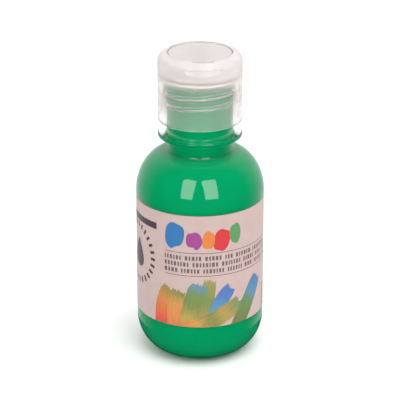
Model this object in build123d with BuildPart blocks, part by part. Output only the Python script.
from build123d import *
import math
import os

# Squeeze bottle of artists' acrylic paint with a press-to-open disc closure.
# Millimetres, +Z up. The origin is on the bottle's axis at the surface it stands
# on, and -Y is the side that the closure pours from.

# ---- bottle body -----------------------------------------------------------
body_radius = 24.5           # shoulder and label panel edge
heel_radius = 24.35          # the body is a touch narrower at the heel
foot_radius = 12.6           # outer edge of the flat ring the bottle stands on
foot_width = 1.6             # width of that ring
heel_height = 14.1           # height at which the rounded heel meets the wall
push_up = 3.2                # rise of the dished base at its centre
dish_fullness = 0.75         # share of that rise reached half way out
shoulder_height = 64.7       # where the straight wall turns into the shoulder
dome_centre_radius = 11.8    # centre of the shoulder's quarter ellipse
dome_height = 16.6           # its vertical half axis
wall = 0.9                   # blown wall thickness
base_wall = 1.1              # thickness of the dished base
neck_root_fillet = 1.2       # where the shoulder turns up into the neck

# ---- label -----------------------------------------------------------------
label_bottom = 17.7
label_top = 63.2
label_recess = 0.2           # the panel is set in so the film lies flush
label_thickness = 0.12
label_margin = 0.35          # bare panel above and below the film
label_gap_angle = 4.0        # the two ends of the film stop short at the back

# ---- 28 mm neck finish -----------------------------------------------------
neck_radius = 12.65          # thread root
neck_bore = 10.75
neck_top = 109.8
ring_radius = 16.0           # support ring that the bottle is handled by
ring_bottom = 86.9
ring_height = 1.6
ring_edge_fillet = 0.5
lip_fillet = 0.4
pitch = 4.2333               # six threads per inch
neck_thread_crest = 13.8
neck_thread_turns = 1.25
thread_start_angle = 144.0   # degrees from +X, counter-clockwise from above
thread_start = 102.4         # height of the neck thread's middle where it starts
thread_root_half = 1.15      # half width of a thread ridge at its root
thread_crest_half = 0.45     # and at its crest
thread_bury = 0.2            # how far a ridge is sunk into its wall

# ---- paint -----------------------------------------------------------------
fill_height = 107.4
fill_clearance = 0.05

# ---- closure ---------------------------------------------------------------
cap_radius = 16.0
cap_bottom = 93.3
cap_top = 119.5
cap_edge_radius = 3.4        # rounding of the top edge
cap_bore = 14.1              # inside of the skirt
skirt_bottom_fillet = 0.5
cap_thread_crest = 12.95
cap_thread_turns = 2.0
cap_thread_root_half = 1.0
cap_thread_crest_half = 0.3
deck_bottom = 110.8          # plate that closes the neck
deck_top = 112.0
plug_outer = 10.5            # ring that plugs the bore of the neck
plug_bore = 9.3
plug_depth = 3.0
lip_bottom = 117.4           # lip round the disc
lip_bore = 12.35
orifice_radius = 0.7
saddle_clearance = 0.2
saddle_width = 7.6
saddle_depth = 5.2
saddle_top = 114.0

# Dip in the rim and thumb scoop in the wall, both on the pouring side. The scoop is deepest
# along its top, and its floor slopes out to a small step at its bowed lower edge.
dip_width = 8.0
dip_depth = 0.5
dip_corner = 0.45
scoop_width = 14.0
scoop_top = 117.0
scoop_end_bottom = 115.7
scoop_middle_bottom = 114.6
scoop_depth = 1.0
scoop_step = 0.12            # height of the step at its lower edge

# ---- tilting disc ----------------------------------------------------------
disc_radius = 12.0
disc_top = 119.35
disc_thickness = 1.5
disc_edge_fillet = 0.4
pivot_height = 117.0
tilt_range = 25.0
barrel_radius = 3.4
barrel_length = 6.6
spout_height = 116.1
spout_outer = 1.8
spout_bore = 1.0
spout_reach = 11.6
trunnion_radius = 0.9
trunnion_clearance = 0.1
trunnion_reach = 13.6
trunnion_bore_reach = 13.9   # the bores are blind, in the thickness of the wall
arm_inner = 10.2
arm_outer = 11.7
arm_half_width = 1.3
lug_half_width = 2.0
lug_bottom = 115.2
lug_root = 0.2               # how far a lug is sunk into the wall

# ---- sealing washer --------------------------------------------------------
washer_inner = 10.9
washer_outer = 13.6
washer_clearance = 0.05

os.makedirs("parts", exist_ok=True)


def helix_plane(height):
    """Level plane at a height, turned so that a helix on it starts at the thread's start angle."""
    angle = math.radians(thread_start_angle)
    return Plane(origin=(0, 0, height), x_dir=(math.cos(angle), math.sin(angle), 0), z_dir=(0, 0, 1))


def ridge_plane(path):
    """Plane across the start of a thread path, with its x axis pointing away from the bottle's axis."""
    start = path @ 0
    return Plane(origin=start, x_dir=(start.X, start.Y, 0), z_dir=path % 0)


def cavity_outline(inset):
    """Right half of the space inside the bottle, drawn in by the inset all round."""
    straight = body_radius - label_recess - wall - inset
    crown = shoulder_height + dome_height - wall - inset
    bore = neck_bore - inset
    throat = dome_centre_radius - bore
    floor = base_wall + inset
    Line((0, fill_height), (0, push_up + floor))
    ThreePointArc(
        (0, push_up + floor),
        (foot_radius / 2, push_up * dish_fullness + floor),
        (foot_radius, floor),
    )
    EllipticalCenterArc(
        (foot_radius, heel_height),
        straight - foot_radius,
        heel_height - floor,
        start_angle=270,
        arc_size=90,
    )
    Line((straight, heel_height), (straight, shoulder_height))
    EllipticalCenterArc(
        (dome_centre_radius, shoulder_height),
        straight - dome_centre_radius,
        crown - shoulder_height,
        start_angle=0,
        arc_size=90,
    )
    CenterArc((dome_centre_radius, crown + throat), throat, 270, -90)
    Line((bore, crown + throat), (bore, fill_height))
    Line((bore, fill_height), (0, fill_height))


# ---- bottle: blow-moulded shell with an injection-moulded neck --------------
dome_half_axis = body_radius - dome_centre_radius
dome_sweep = math.degrees(math.acos((neck_radius - dome_centre_radius) / dome_half_axis))
panel_radius = body_radius - label_recess
panel_bottom = label_bottom - label_margin
panel_top = label_top + label_margin
foot_inner = foot_radius - foot_width

with BuildPart() as bottle:
    with BuildSketch(Plane.XZ):
        with BuildLine():
            Line((0, neck_top), (0, push_up))
            ThreePointArc((0, push_up), (foot_inner / 2, push_up * dish_fullness), (foot_inner, 0))
            Line((foot_inner, 0), (foot_radius, 0))
            EllipticalCenterArc(
                (foot_radius, heel_height),
                heel_radius - foot_radius,
                heel_height,
                start_angle=270,
                arc_size=90,
            )
            Polyline(
                (heel_radius, heel_height),
                (heel_radius, panel_bottom - label_recess),
                (panel_radius, panel_bottom),
                (panel_radius, panel_top),
                (body_radius, panel_top + label_recess),
                (body_radius, shoulder_height),
            )
            dome = EllipticalCenterArc(
                (dome_centre_radius, shoulder_height),
                dome_half_axis,
                dome_height,
                start_angle=0,
                arc_size=dome_sweep,
            )
            Line(dome @ 1, (neck_radius, neck_top))
            Line((neck_radius, neck_top), (0, neck_top))
        make_face()
    revolve(axis=Axis.Z)
    fillet(
        bottle.edges()
        .filter_by(GeomType.CIRCLE)
        .filter_by_position(Axis.Z, shoulder_height + dome_height / 2, ring_bottom),
        neck_root_fillet,
    )
    with BuildSketch(Plane.XY.offset(ring_bottom)):
        Circle(ring_radius)
    extrude(amount=ring_height)
    fillet(
        bottle.edges()
        .filter_by(GeomType.CIRCLE)
        .filter_by_position(Axis.Z, ring_bottom - 0.1, ring_bottom + ring_height + 0.1)
        .group_by(SortBy.RADIUS)[-1],
        ring_edge_fillet,
    )
    with BuildSketch(Plane.XZ):
        with BuildLine():
            cavity_outline(0)
        make_face()
    revolve(axis=Axis.Z, mode=Mode.SUBTRACT)
    with BuildSketch(Plane.XY.offset(fill_height)):
        Circle(neck_bore)
    extrude(amount=neck_top - fill_height, mode=Mode.SUBTRACT)
    fillet(bottle.edges().filter_by(GeomType.CIRCLE).group_by(Axis.Z)[-1], lip_fillet)
    with BuildLine(helix_plane(thread_start)) as neck_helix:
        Helix(pitch, pitch * neck_thread_turns, neck_radius)
    with BuildSketch(ridge_plane(neck_helix.line)):
        Polygon(
            (-thread_bury, -thread_root_half),
            (neck_thread_crest - neck_radius, -thread_crest_half),
            (neck_thread_crest - neck_radius, thread_crest_half),
            (-thread_bury, thread_root_half),
            align=None,
        )
    sweep(path=neck_helix.line, is_frenet=True)
bottle.part.label = "bottle"
export_step(bottle.part, "parts/bottle.step")

# ---- paint: fills the bottle to just under the mouth ------------------------
with BuildPart() as paint_fill:
    with BuildSketch(Plane.XZ):
        with BuildLine():
            cavity_outline(fill_clearance)
        make_face()
    revolve(axis=Axis.Z)
paint_fill.part.label = "paint_fill"
export_step(paint_fill.part, "parts/paint_fill.step")

# ---- label: film wrapped round the panel, its ends meeting at the back ------
with BuildPart() as label:
    with BuildSketch(Plane.XZ):
        with Locations((panel_radius, label_bottom)):
            Rectangle(label_thickness, label_top - label_bottom, align=(Align.MIN, Align.MIN))
    revolve(axis=Axis.Z)
    gap_width = 2 * panel_radius * math.sin(math.radians(label_gap_angle / 2))
    with BuildSketch(Plane.XY.offset(label_bottom)):
        with Locations((0, panel_radius)):
            Rectangle(gap_width, panel_radius)
    extrude(amount=label_top - label_bottom, mode=Mode.SUBTRACT)
label.part.label = "label"
export_step(label.part, "parts/label.step")

# ---- closure: smooth skirt, inner thread, deck with its orifice, and lip ----
scoop_half = scoop_width / 2
scoop_slope = (scoop_depth - scoop_step) / (scoop_top - scoop_middle_bottom)
core_overrun = 1.0           # the cone that shapes the scoop's floor runs past it at both ends
lug_middle = (lip_bore + cap_bore) / 2

with BuildPart() as cap_shell:
    with BuildSketch(Plane.XY.offset(cap_bottom)):
        Circle(cap_radius)
    extrude(amount=cap_top - cap_bottom)
    fillet(cap_shell.edges().group_by(Axis.Z)[-1], cap_edge_radius)
    fillet(cap_shell.edges().group_by(Axis.Z)[0], skirt_bottom_fillet)
    # The space under the deck, the space between deck and lip, and the disc's opening.
    for bottom, top, radius in (
        (cap_bottom, deck_bottom, cap_bore),
        (deck_top, lip_bottom, cap_bore),
        (lip_bottom, cap_top, lip_bore),
    ):
        with BuildSketch(Plane.XY.offset(bottom)):
            Circle(radius)
        extrude(amount=top - bottom, mode=Mode.SUBTRACT)
    # Ring that plugs the bore of the neck.
    with BuildSketch(Plane.XY.offset(deck_bottom)):
        Circle(plug_outer)
        Circle(plug_bore, mode=Mode.SUBTRACT)
    extrude(amount=-plug_depth)
    # Saddle that the disc's barrel turns in, with the orifice through it.
    with BuildSketch(Plane.XY.offset(deck_top)):
        Rectangle(saddle_width, saddle_depth)
    extrude(amount=saddle_top - deck_top)
    with BuildSketch(Plane.YZ.offset(-saddle_width)):
        with Locations((0, pivot_height)):
            Circle(barrel_radius + saddle_clearance)
    extrude(amount=2 * saddle_width, mode=Mode.SUBTRACT)
    with BuildSketch(Plane.XY.offset(deck_bottom)):
        Circle(orifice_radius)
    extrude(amount=saddle_top - deck_bottom, mode=Mode.SUBTRACT)
    # Lugs under the lip that carry the disc's trunnions.
    with BuildSketch(Plane.XY.offset(lug_bottom)):
        with Locations((lug_middle, 0), (-lug_middle, 0)):
            Rectangle(cap_bore - lip_bore + lug_root, 2 * lug_half_width)
    extrude(amount=lip_bottom - lug_bottom)
    with BuildSketch(Plane.YZ.offset(-trunnion_bore_reach)):
        with Locations((0, pivot_height)):
            Circle(trunnion_radius + trunnion_clearance)
    extrude(amount=2 * trunnion_bore_reach, mode=Mode.SUBTRACT)
    # Dip in the rim where the spout swings up.
    with BuildSketch(Plane.XZ.offset(disc_radius)):
        with Locations((0, cap_top)):
            RectangleRounded(dip_width, 2 * dip_depth, dip_corner)
    extrude(amount=cap_radius - disc_radius, mode=Mode.SUBTRACT)
    # Thumb scoop: everything in front of a cone that narrows towards the scoop's top.
    with BuildSketch(Plane.XZ):
        with BuildLine():
            Line((-scoop_half, scoop_top), (scoop_half, scoop_top))
            Line((scoop_half, scoop_top), (scoop_half, scoop_end_bottom))
            ThreePointArc(
                (scoop_half, scoop_end_bottom),
                (0, scoop_middle_bottom),
                (-scoop_half, scoop_end_bottom),
            )
            Line((-scoop_half, scoop_end_bottom), (-scoop_half, scoop_top))
        make_face()
    scoop_block = extrude(amount=2 * cap_radius, mode=Mode.PRIVATE)
    scoop_core = Pos(0, 0, (scoop_middle_bottom + scoop_top) / 2) * Cone(
        cap_radius - scoop_step + scoop_slope * core_overrun,
        cap_radius - scoop_depth - scoop_slope * core_overrun,
        scoop_top - scoop_middle_bottom + 2 * core_overrun,
        mode=Mode.PRIVATE,
    )
    add(scoop_block - scoop_core, mode=Mode.SUBTRACT)
    # Thread on the inside of the skirt, half a pitch below the neck's.
    with BuildLine(helix_plane(thread_start - pitch / 2)) as cap_helix:
        Helix(pitch, pitch * cap_thread_turns, cap_bore)
    with BuildSketch(ridge_plane(cap_helix.line)):
        Polygon(
            (thread_bury, -cap_thread_root_half),
            (cap_thread_crest - cap_bore, -cap_thread_crest_half),
            (cap_thread_crest - cap_bore, cap_thread_crest_half),
            (thread_bury, cap_thread_root_half),
            align=None,
        )
    sweep(path=cap_helix.line, is_frenet=True)
cap_shell.part.label = "cap_shell"
export_step(cap_shell.part, "parts/cap_shell.step")

# ---- disc: plate, barrel and spout that tilt together on two trunnions ------
inlet_angle = math.radians(tilt_range)
barrel_half = barrel_length / 2
inlet_plane = Plane(
    origin=(0, 0, pivot_height),
    x_dir=(1, 0, 0),
    z_dir=(0, math.sin(inlet_angle), -math.cos(inlet_angle)),
)

with BuildPart() as disc:
    with BuildSketch(Plane.YZ.offset(-barrel_half)):
        with Locations((0, pivot_height)):
            Circle(barrel_radius)
    extrude(amount=barrel_length)
    split(bisect_by=Plane.XY.offset(disc_top - disc_thickness / 2), keep=Keep.BOTTOM)
    with BuildSketch(Plane.XY.offset(disc_top)):
        Circle(disc_radius)
    extrude(amount=-disc_thickness)
    fillet(disc.edges().group_by(Axis.Z)[-1], disc_edge_fillet)
    # Arms and trunnions.
    with BuildSketch(Plane.XY.offset(disc_top - disc_thickness)):
        with Locations(((arm_inner + arm_outer) / 2, 0), (-(arm_inner + arm_outer) / 2, 0)):
            Rectangle(arm_outer - arm_inner, 2 * arm_half_width)
    extrude(amount=pivot_height - trunnion_radius - disc_top + disc_thickness)
    for side in (1, -1):
        with BuildSketch(Plane.YZ.offset(side * arm_inner)):
            with Locations((0, pivot_height)):
                Circle(trunnion_radius)
        extrude(amount=side * (trunnion_reach - arm_inner))
    # Spout from the barrel to the pouring side, and its bore.
    with BuildSketch(Plane.XZ):
        with Locations((0, spout_height)):
            Circle(spout_outer)
        with Locations((0, (spout_height + disc_top - disc_thickness) / 2)):
            Rectangle(2 * spout_outer, disc_top - disc_thickness - spout_height)
    extrude(amount=spout_reach)
    with BuildSketch(Plane.XZ):
        with Locations((0, spout_height)):
            Circle(spout_bore)
    extrude(amount=spout_reach, mode=Mode.SUBTRACT)
    with BuildSketch(inlet_plane):
        Circle(orifice_radius)
    extrude(amount=barrel_radius + saddle_clearance, mode=Mode.SUBTRACT)
disc.part.label = "disc"
export_step(disc.part, "parts/disc.step")

# ---- washer: soft ring between the deck and the lip of the neck -------------
with BuildPart() as seal_washer:
    with BuildSketch(Plane.XY.offset(neck_top + washer_clearance)):
        Circle(washer_outer)
        Circle(washer_inner, mode=Mode.SUBTRACT)
    extrude(amount=deck_bottom - neck_top - 2 * washer_clearance)
seal_washer.part.label = "seal_washer"
export_step(seal_washer.part, "parts/seal_washer.step")
